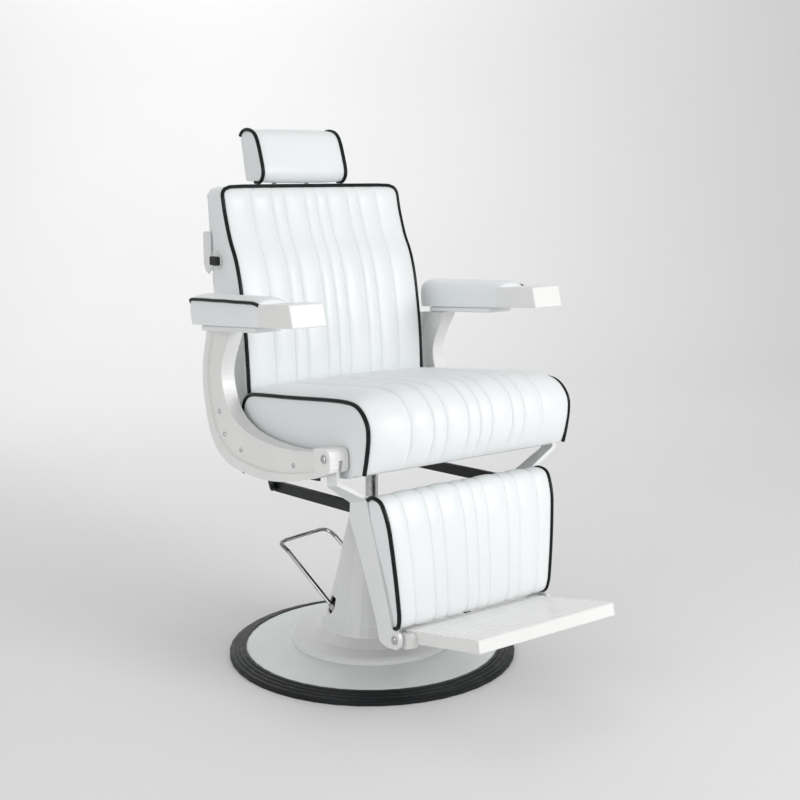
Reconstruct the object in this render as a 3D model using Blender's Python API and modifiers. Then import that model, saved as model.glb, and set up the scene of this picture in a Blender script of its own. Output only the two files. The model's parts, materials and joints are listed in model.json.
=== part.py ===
"""Hydraulic barber chair: base, lift, swivel seat, reclining back, headrest, legrest and footplate.

Metres, +Z up, the sitter faces -Y. The origin is the centre of the base on the floor.
"""
import math

import bmesh
import bpy
from mathutils import Vector

GAP = 0.0003
MERGE = 0.0001

# Base and pump
BASE_RADIUS = 0.330
DISC_RADIUS = 0.292
HUB_TOP = 0.0355
SKIRT_RADIUS = 0.187
CONE_WALL = 0.003
CONE_TOP = 0.334
RAM_RADIUS = 0.0145
RAM_BOTTOM = 0.100
RAM_TOP = 0.462
PUMP_RADIUS = 0.030
PUMP_TOP = 0.318

# Foot pump lever, turned a little from straight back
LEVER_TURN = math.radians(12.9)
LEVER_PIVOT = (0.048, 0.110)
LEVER_HALF_WIDTH = 0.081
LEVER_ROD = 0.0048
LEVER_SHAFT = 0.008

# Seat
SEAT_TILT = math.radians(5.5)
SEAT_HALF_WIDTH = 0.258
SEAT_FLOOR = 0.4717
SEAT_THICKNESS = 0.134
FRAME_TUBE = 0.022
RAIL_START = -0.165
RAIL_END = 0.030
HUB_HEIGHT = 0.430

# Arm frames and armrests
FRAME_OUTER = 0.3086
FRAME_INNER = 0.2765
FRAME_END = -0.2440
HOUSING_OUTER = 0.3125
HOUSING_INNER = 0.2690
RECESS = 0.006
ARM_CENTRE = 0.314
ARM_HALF_WIDTH = 0.040
ARM_TILT = math.radians(4.4)
ARM_BOTTOM = 0.779

# Joint axes, as (y, z)
BACK_PIVOT = (0.085, 0.525)
LEG_PIVOT = (-0.281, 0.545)
FOOT_PIVOT = (-0.364, 0.177)
ROCKER = (0.002, -0.124)
LOCK_RADIUS = 0.078
LOCK_ANGLE = math.radians(17.0)
RELEASE_PIVOT = (0.236, 0.896)

# Back, headrest, legrest
UPRIGHT_X = 0.269
UPRIGHT_THICKNESS = 0.005
STAY_X = 0.140
STAY_WIDTH = 0.040
BACK_HALF_WIDTH = 0.238
SHELL_THICKNESS = 0.014
HEAD_HALF_WIDTH = 0.113
HEAD_LEAN = math.radians(5.0)
POST_X = 0.045
LINK_X = 0.199
LINK_THICKNESS = 0.008
LINK_PIN_DEPTH = 0.0048
LOCK_X = 0.100
LOCK_HEIGHT = -0.0127
LOCK_ROD_RADIUS = 0.0040
LEG_ARM_TOP_X = 0.287
LEG_ARM_LOW_X = 0.2000
LEG_ARM_LOW_Z = 0.195
LEG_ARM_SPLAY = 0.0838
LEG_ARM_THICKNESS = 0.008
PAD_LOW_HALF = 0.2014
PAD_LOW_Z = 0.242
PAD_SPLAY = 0.088
FOOT_HALF_WIDTH = 0.1775
FOOT_TILT = math.radians(11.8)
FOOT_WALL = 0.006

# Holes and the pins in them
PIN_RADIUS = 0.0050
BORE_RADIUS = 0.0053
BACK_PIN_RADIUS = 0.0060
BACK_BORE_RADIUS = 0.0063

SIDES = (("left", -1), ("right", 1))


def clear_scene():
    for old in list(bpy.data.objects):
        bpy.data.objects.remove(old, do_unlink=True)


def new_collection(name):
    group = bpy.data.collections.new(name)
    bpy.context.scene.collection.children.link(group)
    return group


clear_scene()
CHAIR = new_collection("barber_chair")
CUTTERS = new_collection("cutters")


def material(name, colour, roughness, metallic=0.0):
    mat = bpy.data.materials.new(name)
    mat.use_nodes = True
    shader = mat.node_tree.nodes["Principled BSDF"]
    shader.inputs["Base Color"].default_value = (*colour, 1.0)
    shader.inputs["Roughness"].default_value = roughness
    shader.inputs["Metallic"].default_value = metallic
    mat.diffuse_color = (*colour, 1.0)
    return mat


WHITE_METAL = material("white_metal", (0.86, 0.87, 0.88), 0.35)
WHITE_VINYL = material("white_vinyl", (0.88, 0.89, 0.90), 0.45)
RUBBER = material("black_rubber", (0.015, 0.015, 0.017), 0.5)
CHROME = material("chrome", (0.75, 0.75, 0.76), 0.1, 1.0)
STEEL = material("steel", (0.45, 0.45, 0.46), 0.35, 1.0)
BLACK_METAL = material("black_metal", (0.03, 0.035, 0.033), 0.45)
BLACK_PLASTIC = material("black_plastic", (0.02, 0.02, 0.02), 0.4)
PLYWOOD = material("plywood", (0.55, 0.42, 0.27), 0.7)


# Moving bodies: each has an empty on its joint's axis, which its pieces are parented to.
AXES = {
    "base": (None, (0, 0, 0)),
    "pump_lever": ("base", (-math.sin(LEVER_TURN) * LEVER_PIVOT[0],
                            math.cos(LEVER_TURN) * LEVER_PIVOT[0], LEVER_PIVOT[1])),
    "lift": ("base", (0, 0, RAM_BOTTOM)),
    "seat": ("lift", (0, 0, HUB_HEIGHT)),
    "back": ("seat", (0, *BACK_PIVOT)),
    "legrest": ("seat", (0, *LEG_PIVOT)),
    "links": ("back", (0, BACK_PIVOT[0] + ROCKER[0], BACK_PIVOT[1] + ROCKER[1])),
    "lock_rod": ("seat", (LOCK_X, 0, 0.459)),
    "headrest": ("back", (0, 0.330, 1.060)),
    "release": ("back", (-0.247, *RELEASE_PIVOT)),
    "footplate": ("legrest", (0, *FOOT_PIVOT)),
}


def make_axes():
    empties = {}
    for name, (parent, place) in AXES.items():
        empty = bpy.data.objects.new("axis_" + name, None)
        empty.empty_display_size = 0.05
        CHAIR.objects.link(empty)
        offset = Vector(AXES[parent][1]) if parent else Vector()
        empty.parent = empties.get(parent)
        empty.location = Vector(place) - offset
        empties[name] = empty
    return empties


EMPTIES = make_axes()


def add_piece(name, mesh, mat, body, location=(0, 0, 0), rotation=(0, 0, 0)):
    """Adds a named piece to a moving body, at a place in the chair's own frame."""
    piece = bpy.data.objects.new(name, mesh)
    mesh.name = name
    mesh.materials.clear()
    mesh.materials.append(mat)
    CHAIR.objects.link(piece)
    piece.parent = EMPTIES[body]
    piece.location = Vector(location) - Vector(AXES[body][1])
    piece.rotation_euler = rotation
    return piece


def add_cutter(piece, name, mesh, location=(0, 0, 0), rotation=(0, 0, 0), keep=False):
    """Cuts a shape out of a piece, or joins it on when keep is set."""
    cutter = bpy.data.objects.new(name, mesh)
    CUTTERS.objects.link(cutter)
    cutter.location = location
    cutter.rotation_euler = rotation
    cutter.hide_render = True
    cutter.display_type = "WIRE"
    step = piece.modifiers.new(name, "BOOLEAN")
    step.operation = "UNION" if keep else "DIFFERENCE"
    step.solver = "EXACT"
    step.object = cutter
    return cutter


def bevel(piece, width, segments=2, angle=35.0):
    step = piece.modifiers.new("bevel", "BEVEL")
    step.width = width
    step.segments = segments
    step.limit_method = "ANGLE"
    step.angle_limit = math.radians(angle)
    return step


def smooth(mesh, angle=40.0):
    mesh.shade_smooth()
    mesh.set_sharp_from_angle(angle=math.radians(angle))


def box_mesh(size):
    mesh = bpy.data.meshes.new("box")
    shape = bmesh.new()
    bmesh.ops.create_cube(shape, size=1.0)
    bmesh.ops.scale(shape, vec=size, verts=shape.verts)
    shape.to_mesh(mesh)
    shape.free()
    return mesh


def rod_mesh(radius, length, sides=16):
    """A cylinder along Z, centred."""
    mesh = bpy.data.meshes.new("rod")
    shape = bmesh.new()
    bmesh.ops.create_cone(shape, cap_ends=True, segments=sides, radius1=radius,
                          radius2=radius, depth=length)
    shape.to_mesh(mesh)
    shape.free()
    smooth(mesh)
    return mesh


def turned_mesh(profile, steps):
    """Turns a closed profile of (radius, z), listed down the outside and back up the inside."""
    mesh = bpy.data.meshes.new("profile")
    shape = bmesh.new()
    ring = [shape.verts.new((radius, 0, height)) for radius, height in profile]
    for start, end in zip(ring, ring[1:]):
        if start.co.x > 0 or end.co.x > 0:
            shape.edges.new((start, end))
    if profile[0][0] > 0:
        shape.edges.new((ring[-1], ring[0]))
    shape.to_mesh(mesh)
    shape.free()
    holder = bpy.data.objects.new("turning", mesh)
    CUTTERS.objects.link(holder)
    screw = holder.modifiers.new("screw", "SCREW")
    screw.steps = steps
    screw.render_steps = steps
    screw.use_merge_vertices = True
    screw.merge_threshold = MERGE
    return baked(holder)


def baked(holder):
    """The evaluated mesh of a helper object, welded, with the helper removed."""
    bpy.context.view_layer.update()
    scene = bpy.context.evaluated_depsgraph_get()
    mesh = bpy.data.meshes.new_from_object(holder.evaluated_get(scene))
    bpy.data.objects.remove(holder, do_unlink=True)
    shape = bmesh.new()
    shape.from_mesh(mesh)
    bmesh.ops.remove_doubles(shape, verts=shape.verts, dist=MERGE * 0.5)
    bmesh.ops.recalc_face_normals(shape, faces=shape.faces)
    shape.to_mesh(mesh)
    shape.free()
    smooth(mesh)
    return mesh


def outline_mesh(points, thickness):
    """A flat outline in local X and Y, thick along local Z."""
    curve = bpy.data.curves.new("outline", "CURVE")
    curve.dimensions = "2D"
    curve.fill_mode = "BOTH"
    curve.extrude = thickness / 2
    spline = curve.splines.new("POLY")
    spline.points.add(len(points) - 1)
    for point, (across, up) in zip(spline.points, points):
        point.co = (across, up, 0, 1)
    spline.use_cyclic_u = True
    holder = bpy.data.objects.new("outline", curve)
    CUTTERS.objects.link(holder)
    return baked(holder)


# Turns local X, Y, Z to the chair's Y, Z, X, for outlines drawn in the side view.
SIDE_VIEW = (math.pi / 2, 0, math.pi / 2)


def side_plate(name, points, thickness, x, mat, body):
    """A plate drawn in the side view, as (y, z) points, centred on one x."""
    return add_piece(name, outline_mesh(points, thickness), mat, body, (x, 0, 0), SIDE_VIEW)


def side_hole(piece, name, place, radius, x, length, sides=16):
    """A round hole along X through a piece."""
    add_cutter(piece, name, rod_mesh(radius, length, sides), (x, *place), (0, math.pi / 2, 0))


def tube_mesh(points, radius, roundness=2):
    curve = bpy.data.curves.new("tube", "CURVE")
    curve.dimensions = "3D"
    curve.bevel_depth = radius
    curve.bevel_resolution = roundness
    curve.use_fill_caps = True
    spline = curve.splines.new("POLY")
    spline.points.add(len(points) - 1)
    for point, place in zip(spline.points, points):
        point.co = (*place, 1)
    holder = bpy.data.objects.new("tube", curve)
    CUTTERS.objects.link(holder)
    return baked(holder)


def flowing(points, steps):
    """A smooth line through the points, with steps short runs between each two."""
    line = []
    padded = [points[0], *points, points[-1]]
    for before, start, end, after in zip(padded, padded[1:], padded[2:], padded[3:]):
        before, start, end, after = (Vector(p) for p in (before, start, end, after))
        for step in range(steps):
            t = step / steps
            line.append((start * 2 + (end - before) * t
                         + (before * 2 - start * 5 + end * 4 - after) * t ** 2
                         + (start * 3 - before - end * 3 + after) * t ** 3) / 2)
    line.append(Vector(points[-1]))
    return line


def strap(points, half_width, end_steps=5):
    """The outline of a flat bar that runs through the points and has round ends."""
    places = [Vector(p) for p in points]
    left, right = [], []
    for index, place in enumerate(places):
        ahead = places[min(index + 1, len(places) - 1)] - place
        behind = place - places[max(index - 1, 0)]
        run = (ahead.normalized() if ahead.length else Vector((0, 0)))
        run += behind.normalized() if behind.length else Vector((0, 0))
        run.normalize()
        across = Vector((-run.y, run.x)) * half_width
        left.append(place + across)
        right.append(place - across)

    def end_arc(centre, start):
        arm = start - centre
        return [centre + Vector((arm.x * math.cos(a) + arm.y * math.sin(a),
                                 -arm.x * math.sin(a) + arm.y * math.cos(a)))
                for a in (math.pi * n / end_steps for n in range(1, end_steps))]

    outline = left + end_arc(places[-1], left[-1])
    outline += list(reversed(right)) + end_arc(places[0], right[0])
    return [tuple(p) for p in outline]


def tilted(y, height, tilt, base):
    """A place on a plane that rises towards the front: y along it, height above it."""
    return (y * math.cos(tilt) + height * math.sin(tilt),
            base - y * math.sin(tilt) + height * math.cos(tilt))


def on_back(angle, radius):
    """A place on the back frame, at an angle behind straight down from its pivot."""
    return (BACK_PIVOT[0] + radius * math.sin(angle), BACK_PIVOT[1] - radius * math.cos(angle))


LOCK_PIN = on_back(LOCK_ANGLE, LOCK_RADIUS)
LINK_REAR = (BACK_PIVOT[0] + ROCKER[0], BACK_PIVOT[1] + ROCKER[1])
LINK_FRONT = (LEG_PIVOT[0] + ROCKER[0], LEG_PIVOT[1] + ROCKER[1])


# Base

def base_disc():
    dome = [(0, HUB_TOP), (0.110, HUB_TOP - 0.0015), (SKIRT_RADIUS, 0.0305), (0.245, 0.0255),
            (0.284, 0.0205), (DISC_RADIUS, 0.0180), (DISC_RADIUS, 0)]
    under = [(0.284, 0), (0.278, 0.013), (0.120, 0.026), (0.075, 0.026), (0.070, 0), (0, 0)]
    add_piece("base_disc", turned_mesh(dome + under, 44), WHITE_METAL, "base")


def base_ring():
    inner = DISC_RADIUS + GAP
    outside = [(inner, 0.0205), (0.299, 0.0205), (0.301, 0.0180), (0.308, 0.0175),
               (0.310, 0.0150), (0.317, 0.0145), (0.319, 0.0120), (0.326, 0.0110),
               (BASE_RADIUS, 0.0080), (BASE_RADIUS, 0), (inner, 0)]
    add_piece("base_ring", turned_mesh(outside, 44), RUBBER, "base")


def lever_place(along, across, height):
    """A place by its distances from the base's axis along and across the pump lever."""
    return (across * math.cos(LEVER_TURN) - along * math.sin(LEVER_TURN),
            across * math.sin(LEVER_TURN) + along * math.cos(LEVER_TURN), height)


def pedestal_cone():
    outside = [(0.046, CONE_TOP), (0.050, 0.331), (0.053, 0.316), (0.066, 0.261),
               (0.075, 0.214), (0.087, 0.164), (0.099, 0.115), (0.106, 0.088),
               (0.117, 0.066), (0.142, 0.050), (0.181, 0.0455), (SKIRT_RADIUS, 0.041),
               (SKIRT_RADIUS, 0.0310)]
    inside = [(SKIRT_RADIUS - 0.004, 0.0312), (0.182, 0.0415)]
    inside += [(radius - CONE_WALL, height - 0.0015) for radius, height in outside[-4:2:-1]]
    inside += [(0.048, CONE_TOP - CONE_WALL), (0.0262, CONE_TOP - CONE_WALL), (0.0262, CONE_TOP)]
    cone = add_piece("pedestal_cone", turned_mesh(outside + inside, 36), WHITE_METAL, "base")
    for side, sign in SIDES:
        place = lever_place(0.060, sign * LEVER_HALF_WIDTH, 0.1165)
        add_cutter(cone, "lever_slot_" + side, box_mesh((0.026, 0.056, 0.040)), place,
                   (0, 0, LEVER_TURN))


def pump_cylinder():
    """A closed tube on the hub of the base, which the ram slides in."""
    bore = RAM_RADIUS + GAP
    floor = RAM_BOTTOM - 0.010
    body = [(PUMP_RADIUS - 0.003, PUMP_TOP), (PUMP_RADIUS, PUMP_TOP - 0.003),
            (PUMP_RADIUS, HUB_TOP + GAP), (0, HUB_TOP + GAP)]
    hollow = [(0, floor), (bore, floor), (bore, PUMP_TOP)]
    add_piece("pump_cylinder", turned_mesh(body + hollow, 20), STEEL, "base")


def cylinder_gland():
    bore = RAM_RADIUS + GAP
    ring = [(0.022, CONE_TOP + 0.004), (0.0255, CONE_TOP + 0.001), (0.0255, PUMP_TOP + GAP),
            (bore, PUMP_TOP + GAP), (bore, CONE_TOP + 0.004)]
    add_piece("cylinder_gland", turned_mesh(ring, 24), RUBBER, "base")


def lever_bracket():
    half, wall, foot = 0.056, 0.006, HUB_TOP + GAP
    top = LEVER_PIVOT[1] + 0.016
    outline = [(-half, foot), (half, foot), (half, top), (half - wall, top),
               (half - wall, foot + wall), (wall - half, foot + wall), (wall - half, top),
               (-half, top)]
    place = lever_place(LEVER_PIVOT[0], 0, 0)
    bracket = add_piece("lever_bracket", outline_mesh(outline, 0.030), STEEL, "base",
                        place, (math.pi / 2, 0, LEVER_TURN))
    add_cutter(bracket, "lever_bore", rod_mesh(LEVER_SHAFT + GAP, 0.2), (*place[:2], LEVER_PIVOT[1]),
               (0, math.pi / 2, LEVER_TURN))


def pump_lever():
    half = LEVER_HALF_WIDTH
    foot = LEVER_SHAFT + GAP + 0.0012
    slope = math.radians(36.0)
    start = (LEVER_PIVOT[0] + foot * math.cos(slope), LEVER_PIVOT[1] + foot * math.sin(slope))
    arm = [start, (0.130, 0.1700), (0.172, 0.2010), (0.190, 0.2145), (0.208, 0.2235)]
    corner = [(0.217, 0.2265, half - 0.003), (0.222, 0.2290, half - 0.010),
              (0.2235, 0.2305, half - 0.022)]
    right = [(along, up, half) for along, up in arm] + corner
    loop = right + [(along, up, -across) for along, up, across in reversed(right)]
    points = [Vector(lever_place(along, across, up)) for along, up, across in loop]
    centre = Vector(AXES["pump_lever"][1])
    mesh = tube_mesh([p - centre for p in points], LEVER_ROD, 2)
    add_piece("pump_lever", mesh, CHROME, "pump_lever", centre)


def lever_shaft():
    place = lever_place(LEVER_PIVOT[0], 0, LEVER_PIVOT[1])
    length = 2 * (LEVER_HALF_WIDTH + 0.004)
    add_piece("lever_shaft", rod_mesh(LEVER_SHAFT, length), STEEL, "pump_lever", place,
              (0, math.pi / 2, LEVER_TURN))


# Lift and seat

def lift_ram():
    middle = (RAM_BOTTOM + RAM_TOP) / 2
    add_piece("lift_ram", rod_mesh(RAM_RADIUS, RAM_TOP - RAM_BOTTOM, 24), STEEL, "lift",
              (0, 0, middle))


def seat_place(x, y, height):
    """A place under the seat: height above the underside of the seat board, at rest."""
    return (x, *tilted(y, height, SEAT_TILT, SEAT_FLOOR))


TILTED = (-SEAT_TILT, 0, 0)


def swivel_hub():
    """A hub with a blind socket for the ram's end, on the plate that carries the seat rails."""
    top = RAM_TOP + 0.003
    hub = [(0, top), (0.034, top), (0.034, HUB_HEIGHT), (0, HUB_HEIGHT)]
    piece = add_piece("swivel_hub", turned_mesh(hub, 24), BLACK_METAL, "seat")
    plate = box_mesh((0.340, 0.090, 0.006))
    under = -FRAME_TUBE - GAP * 2 - 0.003
    add_cutter(piece, "hub_plate", plate, seat_place(0, -0.010, under), TILTED, keep=True)
    low, high = HUB_HEIGHT - 0.005, RAM_TOP + GAP
    add_cutter(piece, "hub_socket", rod_mesh(RAM_RADIUS + GAP, high - low, 20),
               (0, 0, (low + high) / 2))


def seat_frame():
    """Two rails, a front cross tube, and outriggers to the plates the arm frames bolt to."""
    tube = FRAME_TUBE
    rail = box_mesh((tube, RAIL_END - RAIL_START, tube))
    frame = add_piece("seat_frame", box_mesh((2 * 0.1710, tube, tube)), BLACK_METAL, "seat",
                      seat_place(0, RAIL_START + tube / 2, -tube / 2 - GAP), TILTED)
    for side, sign in SIDES:
        add_cutter(frame, "rail_" + side, rail,
                   seat_place(sign * 0.160, (RAIL_START + RAIL_END) / 2, -tube / 2 - GAP),
                   TILTED, keep=True)
        flange = box_mesh((0.005, 0.220, 0.032))
        add_cutter(frame, "flange_" + side, flange,
                   seat_place(sign * (FRAME_INNER - GAP - 0.0025), -0.095, 0.006), TILTED, keep=True)
        for name, along in (("rear_outrigger_", -0.010), ("front_outrigger_", -0.085)):
            strut = box_mesh((0.12, tube, tube * 0.8))
            add_cutter(frame, name + side, strut,
                       seat_place(sign * 0.2135, along, -tube / 2 - GAP), TILTED, keep=True)


def seat_board():
    add_piece("seat_board", box_mesh((0.470, 0.342, 0.012)), PLYWOOD, "seat",
              seat_place(0, -0.114, 0.006), TILTED)


def seat_pad():
    pad = add_piece("seat_pad", box_mesh((2 * SEAT_HALF_WIDTH, 0.462, SEAT_THICKNESS)), WHITE_VINYL,
                    "seat", seat_place(0, -0.1210, 0.0125 + SEAT_THICKNESS / 2), TILTED)
    bevel(pad, 0.026, 3)


# Edges of an arm frame in the side view, from the armrest round to the legrest pivot.
FRAME_OUTSIDE = [(0.190, 0.7515), (0.214, 0.665), (0.208, 0.585), (0.176, 0.506), (0.113, 0.4655),
                 (0.028, 0.4560), (-0.068, 0.4595), (-0.158, 0.476), (FRAME_END, 0.4990)]
FRAME_INSIDE = [(0.082, 0.7600), (0.126, 0.680), (0.122, 0.625), (0.092, 0.578), (0.038, 0.552),
                (-0.023, 0.5415), (-0.088, 0.5380), (-0.163, 0.541), (FRAME_END, 0.5525)]


def frame_rows(steps=5):
    """Pairs of places on the inside and outside edges, with a close pair at each end."""
    inside = flowing(FRAME_INSIDE, steps)
    outside = flowing(FRAME_OUTSIDE, steps)
    rows = list(zip(inside, outside))

    def between(first, second, share):
        return tuple(a.lerp(b, share) for a, b in zip(first, second))

    return [rows[0], between(rows[0], rows[1], 0.3), *rows[1:-1],
            between(rows[-2], rows[-1], 0.85), rows[-1]]


def arm_frame_mesh():
    """Half of an arm frame, open at its middle plane: rims along both edges, a sunk panel between."""
    half = (FRAME_OUTER - FRAME_INNER) / 2
    rows = frame_rows()
    mesh = bpy.data.meshes.new("arm_frame")
    shape = bmesh.new()
    grid = []
    for index, (inside, outside) in enumerate(rows):
        sunk = half if index in (0, len(rows) - 1) else half - RECESS
        section = [(0, 0), (0, half), (0.05, half), (0.065, sunk), (0.735, sunk), (0.76, half),
                   (1, half), (1, 0)]
        grid.append([shape.verts.new((x, *inside.lerp(outside, share))) for share, x in section])
    for row, after in zip(grid, grid[1:]):
        for corner in range(len(row) - 1):
            shape.faces.new((row[corner], row[corner + 1], after[corner + 1], after[corner]))
    shape.faces.new(grid[0])
    shape.faces.new(reversed(grid[-1]))
    bmesh.ops.recalc_face_normals(shape, faces=shape.faces)
    shape.to_mesh(mesh)
    shape.free()
    smooth(mesh, 30.0)
    return mesh


def arm_frame(side, sign):
    centre = sign * (FRAME_OUTER + FRAME_INNER) / 2
    frame = add_piece("arm_frame_" + side, arm_frame_mesh(), WHITE_METAL, "seat", (centre, 0, 0))
    halves = frame.modifiers.new("halves", "MIRROR")
    halves.merge_threshold = MERGE
    side_hole(frame, "pivot_bore_" + side, BACK_PIVOT, BACK_BORE_RADIUS, sign * FRAME_INNER, 0.040)


def frame_screws(side, sign):
    face = sign * (FRAME_OUTER - RECESS + GAP)
    places = [(0.152, 0.573), (0.131, 0.525), (0.060, 0.502), (-0.153, 0.507)]
    for number, place in enumerate(places, 1):
        head = [(0, 0.0030), (0.0030, 0.0028), (0.0050, 0.0012), (0.0050, 0), (0, 0)]
        add_piece(f"frame_screw_{side}_{number}", turned_mesh(head, 12), STEEL, "seat",
                  (face, *place), (0, sign * math.pi / 2, 0))


def pivot_housing(side, sign):
    """The clevis at the front of an arm frame, which holds the top of a legrest arm."""
    rear = FRAME_END - GAP
    outline = [(rear, 0.4990), (-0.288, 0.5160), (-0.2975, 0.5205), (-0.3010, 0.5285),
               (-0.3010, 0.5525), (-0.2965, 0.5615), (-0.2870, 0.5655), (-0.2650, 0.5630),
               (rear, 0.5600)]
    thickness = HOUSING_OUTER - HOUSING_INNER
    housing = side_plate("pivot_housing_" + side, outline, thickness,
                         sign * (HOUSING_OUTER + HOUSING_INNER) / 2, WHITE_METAL, "seat")
    slot = [(-0.2555, 0.480), (-0.330, 0.480), (-0.330, 0.5425), (-0.3010, 0.5425),
            (-0.2968, 0.5490), (-0.2968, 0.5540), (-0.2900, 0.5612), (-0.2720, 0.5612),
            (-0.2555, 0.5560)]
    add_cutter(housing, "arm_slot_" + side, outline_mesh(slot, LEG_ARM_THICKNESS + 0.003),
               (sign * LEG_ARM_TOP_X, 0, 0), SIDE_VIEW)
    side_hole(housing, "bolt_bore_" + side, LEG_PIVOT, BORE_RADIUS, sign * HOUSING_INNER, 0.100)


def bolt(name, body, place, sign, shank, length, head, head_length, start):
    """A bolt along X: its shank runs inward from start, with its head outside."""
    profile = [(0, head_length), (head * 0.75, head_length), (head, head_length * 0.6), (head, 0),
               (shank, 0), (shank, -length), (0, -length)]
    add_piece(name, turned_mesh(profile, 16), STEEL, body, (sign * start, *place),
              (0, sign * math.pi / 2, 0))


def legrest_bolt(side, sign):
    bolt("legrest_bolt_" + side, "seat", LEG_PIVOT, sign, PIN_RADIUS, 0.042, 0.0085, 0.004,
         HOUSING_OUTER + GAP)


def back_bolt(side, sign):
    """The pivot of the back, with its head on the inner side of the upright."""
    bolt("back_bolt_" + side, "seat", BACK_PIVOT, -sign, BACK_PIN_RADIUS, 0.026, 0.0100, 0.004,
         -(UPRIGHT_X - UPRIGHT_THICKNESS / 2 - GAP))


def arm_place(y, height):
    return tilted(y, height, ARM_TILT, ARM_BOTTOM)


def armrest(side, sign):
    tilt = (-ARM_TILT, 0, 0)
    plate = add_piece("arm_plate_" + side, box_mesh((0.066, 0.229, 0.012)), WHITE_METAL, "seat",
                      (sign * (ARM_CENTRE - 0.002), *arm_place(0.0345, -0.006 - GAP)), tilt)
    bevel(plate, 0.003, 1)
    pad = add_piece("arm_pad_" + side, box_mesh((2 * ARM_HALF_WIDTH - 0.004, 0.296, 0.052)),
                    WHITE_VINYL, "seat", (sign * ARM_CENTRE, *arm_place(0.0362, 0.026 + GAP)), tilt)
    bevel(pad, 0.012, 2)
    outline = [arm_place(*corner) for corner in
               ((-0.1125, GAP), (-0.1125, 0.0463), (-0.2310, 0.0463), (-0.2405, GAP))]
    cap = side_plate("arm_cap_" + side, outline, 2 * ARM_HALF_WIDTH, sign * ARM_CENTRE, WHITE_METAL,
                     "seat")
    bevel(cap, 0.003, 2)


# The lock that holds the back at its angle

def lock_cylinder():
    """A closed tube on the hub plate, which grips the lock rod."""
    front, rear, floor = -0.057, 0.030, -0.046
    wall, bore = 0.0093, LOCK_ROD_RADIUS + 0.0005
    ring = [(wall, rear), (wall, front), (0, front), (0, floor), (bore, floor), (bore, rear)]
    add_piece("lock_cylinder", turned_mesh(ring, 16), BLACK_METAL, "seat",
              seat_place(LOCK_X, 0, LOCK_HEIGHT), (-math.pi / 2 - SEAT_TILT, 0, 0))


def lock_rod():
    """A rod with a slotted eye, which the lower tie of the back frame moves in."""
    y, z = LOCK_PIN
    along = y * math.cos(SEAT_TILT) - (z - SEAT_FLOOR) * math.sin(SEAT_TILT)
    start, end = 0.018, along - 0.009
    rod = rod_mesh(LOCK_ROD_RADIUS, end - start, 12)
    centre = seat_place(LOCK_X, (start + end) / 2, LOCK_HEIGHT)
    piece = add_piece("lock_rod", rod, STEEL, "lock_rod", centre, (-math.pi / 2 - SEAT_TILT, 0, 0))
    add_cutter(piece, "lock_eye", box_mesh((0.010, 0.022, 0.025)),
               seat_place(LOCK_X, along - 0.0005, LOCK_HEIGHT - 0.0010), TILTED, keep=True)
    slot = strap([(-0.0040, 0), (0.0030, 0)], 0.0062)
    add_cutter(piece, "lock_slot", outline_mesh(slot, 0.020),
               seat_place(LOCK_X, along, LOCK_HEIGHT), (-SEAT_TILT, -math.pi / 2, 0))


# Back

def back_frame():
    """Side plates on the pivots, an upper tube, a lower tie, two stays behind the cushion and
    the lugs that push the links."""
    top = (0.180, 0.5350)
    frame = add_piece("back_frame", rod_mesh(0.0090, 2 * UPRIGHT_X, 16), BLACK_METAL, "back",
                      (0, *top), (0, math.pi / 2, 0))
    add_cutter(frame, "lower_tie", rod_mesh(PIN_RADIUS, 2 * UPRIGHT_X, 12), (0, *LOCK_PIN),
               (0, math.pi / 2, 0), keep=True)
    upright = strap([LOCK_PIN, BACK_PIVOT, (0.135, 0.5330), top], 0.0145)
    stay = strap([top, (0.240, 0.5380), (0.2640, 0.5600), (0.2710, 0.6400), (0.2725, 0.6740)], 0.0060)
    lug = strap([LOCK_PIN, LINK_REAR], 0.0100)
    plates = (("upright_", upright, UPRIGHT_THICKNESS, UPRIGHT_X),
              ("stay_", stay, STAY_WIDTH, STAY_X), ("lug_", lug, 0.006, LINK_X + 0.0105))
    for side, sign in SIDES:
        for name, outline, thickness, x in plates:
            add_cutter(frame, name + side, outline_mesh(outline, thickness), (sign * x, 0, 0),
                       SIDE_VIEW, keep=True)
    for side, sign in SIDES:
        side_hole(frame, "back_bore_" + side, BACK_PIVOT, BACK_BORE_RADIUS, sign * UPRIGHT_X, 0.020)
        side_hole(frame, "link_bore_" + side, LINK_REAR, BORE_RADIUS, sign * (LINK_X + 0.0105), 0.012)


BACK_FRONT = [(0.131, 0.565), (0.138, 0.700), (0.152, 0.820), (0.178, 0.905), (0.205, 0.965),
              (0.228, 1.030)]
BACK_REAR = [(0.246, 0.560), (0.260, 0.660), (0.277, 0.800), (0.283, 0.880), (0.292, 0.965),
             (0.297, 1.045)]


def back_pad():
    crown = [(0.236, 1.050), (0.252, 1.0560)]
    outline = flowing(BACK_FRONT, 2) + [Vector(p) for p in crown] + list(reversed(flowing(BACK_REAR, 2)))
    pad = side_plate("back_pad", outline, 2 * BACK_HALF_WIDTH, 0, WHITE_VINYL, "back")
    bevel(pad, 0.010, 2)


def back_shell():
    front = flowing([Vector(p) + Vector((GAP, 0)) for p in BACK_REAR[1:]], 2)
    rear = [p + Vector((SHELL_THICKNESS, 0)) for p in front]
    lower = [p for p in front if p.y > 0.682]
    outline = lower + list(reversed(rear[len(front) - len(lower):]))
    shell = side_plate("back_shell", outline, 2 * (BACK_HALF_WIDTH - 0.003), 0, WHITE_METAL, "back")
    bevel(shell, 0.003, 1)


POST_FOOT = Vector((0.3130, 0.860))
POST_RUN = Vector((math.sin(HEAD_LEAN), math.cos(HEAD_LEAN)))


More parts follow.
